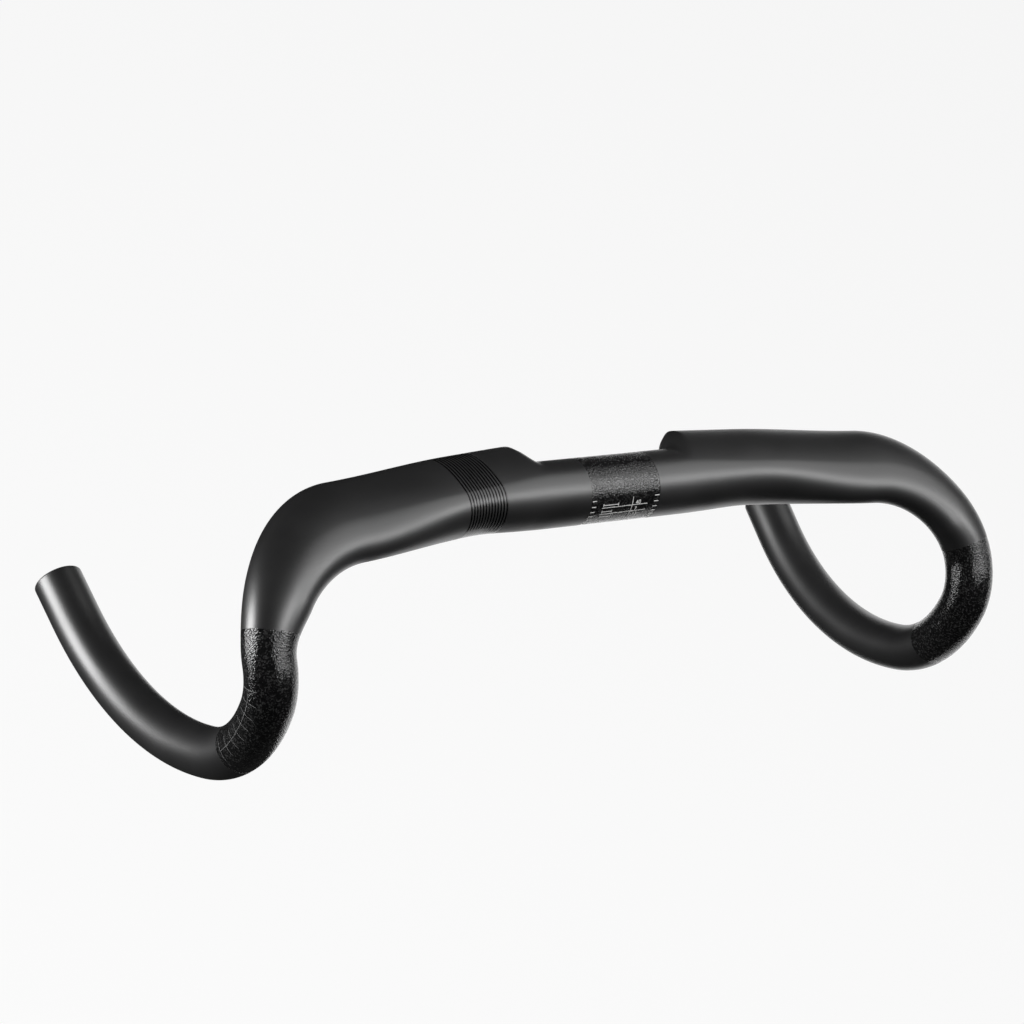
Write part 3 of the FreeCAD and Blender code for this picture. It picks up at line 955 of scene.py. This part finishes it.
class HANDLEBAR_OT_stage(bpy.types.Operator):
    """Set up the floor, the white surround, the lamps and the camera"""

    bl_idname = "handlebar.stage"
    bl_label = "Studio"

    def execute(self, context):
        look = context.scene.handlebar_studio
        self.floor(context, look)
        self.world(context, look)
        for lamp in LAMPS:
            soft_box(*lamp)
        self.camera(context, look)
        context.scene.view_settings.view_transform = "Standard"
        return {"FINISHED"}

    def floor(self, context, look):
        """Square floor, far enough below the bar to hold only a faint shadow."""
        mesh = bpy.data.meshes.new("floor")
        half = look.floor_half
        corners = [(-half, -half, 0), (half, -half, 0), (half, half, 0), (-half, half, 0)]
        mesh.from_pydata(corners, [], [(0, 1, 2, 3)])
        floor = bpy.data.objects.new("floor", mesh)
        floor.location.z = look.floor_height
        context.collection.objects.link(floor)
        mesh.materials.append(self.floor_material(look))

    def floor_material(self, look):
        """Pale and mostly plain white to the camera, and dark to the light that it throws back."""
        material = bpy.data.materials.new("pale_floor")
        material.use_nodes = True
        tree = material.node_tree
        nodes, links = tree.nodes, tree.links
        shader = nodes["Principled BSDF"]
        shader.inputs["Roughness"].default_value = 0.9
        shader.inputs["Specular IOR Level"].default_value = 0.0
        seen = nodes.new("ShaderNodeLightPath").outputs["Is Camera Ray"]
        tone = mixed(tree, "RGBA", seen, (*look.floor_return, 1), (*look.floor_colour, 1))
        links.new(tone, shader.inputs["Base Color"])
        white = nodes.new("ShaderNodeEmission")
        white.inputs["Strength"].default_value = 1.0
        share = nodes.new("ShaderNodeMath")
        share.operation = "MULTIPLY"
        share.inputs[1].default_value = look.floor_white
        links.new(seen, share.inputs[0])
        mix = nodes.new("ShaderNodeMixShader")
        links.new(share.outputs["Value"], mix.inputs["Fac"])
        links.new(shader.outputs["BSDF"], mix.inputs[1])
        links.new(white.outputs["Emission"], mix.inputs[2])
        links.new(mix.outputs["Shader"], nodes["Material Output"].inputs["Surface"])
        return material

    def world(self, context, look):
        """White to the camera, and a faint even fill to everything else."""
        world = bpy.data.worlds.new("studio")
        context.scene.world = world
        world.use_nodes = True
        nodes, links = world.node_tree.nodes, world.node_tree.links
        fill, white = nodes["Background"], nodes.new("ShaderNodeBackground")
        for background, strength in ((fill, look.fill), (white, 1.0)):
            background.inputs["Color"].default_value = (1, 1, 1, 1)
            background.inputs["Strength"].default_value = strength
        path = nodes.new("ShaderNodeLightPath")
        mix = nodes.new("ShaderNodeMixShader")
        links.new(path.outputs["Is Camera Ray"], mix.inputs["Fac"])
        links.new(fill.outputs["Background"], mix.inputs[1])
        links.new(white.outputs["Background"], mix.inputs[2])
        links.new(mix.outputs["Shader"], nodes["World Output"].inputs["Surface"])

    def camera(self, context, look):
        """Camera at a distance from its target, turned by azimuth and elevation and rolled about its view."""
        back = Vector((
            sin(look.azimuth) * cos(look.elevation), -cos(look.azimuth) * cos(look.elevation),
            sin(look.elevation)))
        right = Vector((cos(look.azimuth), sin(look.azimuth), 0))
        up = back.cross(right)
        right, up = (right * cos(look.roll) + up * sin(look.roll),
                     up * cos(look.roll) - right * sin(look.roll))
        data = bpy.data.cameras.new("camera")
        data.lens = look.lens
        data.sensor_width = 36.0
        camera = bpy.data.objects.new("camera", data)
        camera.matrix_world = Matrix.Translation(Vector(look.target) + back * look.distance) @ Matrix(
            (right, up, back)).transposed().to_4x4()
        context.collection.objects.link(camera)
        context.scene.camera = camera


class HANDLEBAR_PT_panel(bpy.types.Panel):
    """Sizes, colours and buttons of the handlebar"""

    bl_idname = "HANDLEBAR_PT_panel"
    bl_label = "Handlebar"
    bl_space_type = "VIEW_3D"
    bl_region_type = "UI"
    bl_category = "Handlebar"

    def draw(self, context):
        for setting in SETTINGS:
            group = getattr(context.scene, setting)
            box = self.layout.box()
            for name in group.bl_rna.properties.keys():
                if name not in {"name", "rna_type"}:
                    box.prop(group, name)
        for operator in OPERATORS:
            self.layout.operator(operator.bl_idname)


SETTINGS = {
    "handlebar_shape": BarShape,
    "handlebar_bands": BandShape,
    "handlebar_print": PrintShape,
    "handlebar_finish": BarFinish,
    "handlebar_studio": StudioLook,
}
OPERATORS = (
    HANDLEBAR_OT_skin, HANDLEBAR_OT_clamp_grip, HANDLEBAR_OT_clamp_marks, HANDLEBAR_OT_lever_grips,
    HANDLEBAR_OT_lever_scales, HANDLEBAR_OT_hoops, HANDLEBAR_OT_stage)
CLASSES = (*SETTINGS.values(), *OPERATORS, HANDLEBAR_PT_panel)


def register():
    for kind in CLASSES:
        bpy.utils.register_class(kind)
    for setting, kind in SETTINGS.items():
        setattr(bpy.types.Scene, setting, PointerProperty(type=kind))


def unregister():
    for setting in reversed(SETTINGS):
        delattr(bpy.types.Scene, setting)
    for kind in reversed(CLASSES):
        bpy.utils.unregister_class(kind)


def main():
    register()
    bpy.ops.handlebar.skin()
    bpy.ops.handlebar.clamp_grip()
    bpy.ops.handlebar.clamp_marks()
    bpy.ops.handlebar.lever_grips()
    bpy.ops.handlebar.lever_scales()
    bpy.ops.handlebar.hoops()
    bpy.ops.handlebar.stage()


if __name__ == "__main__":
    main()
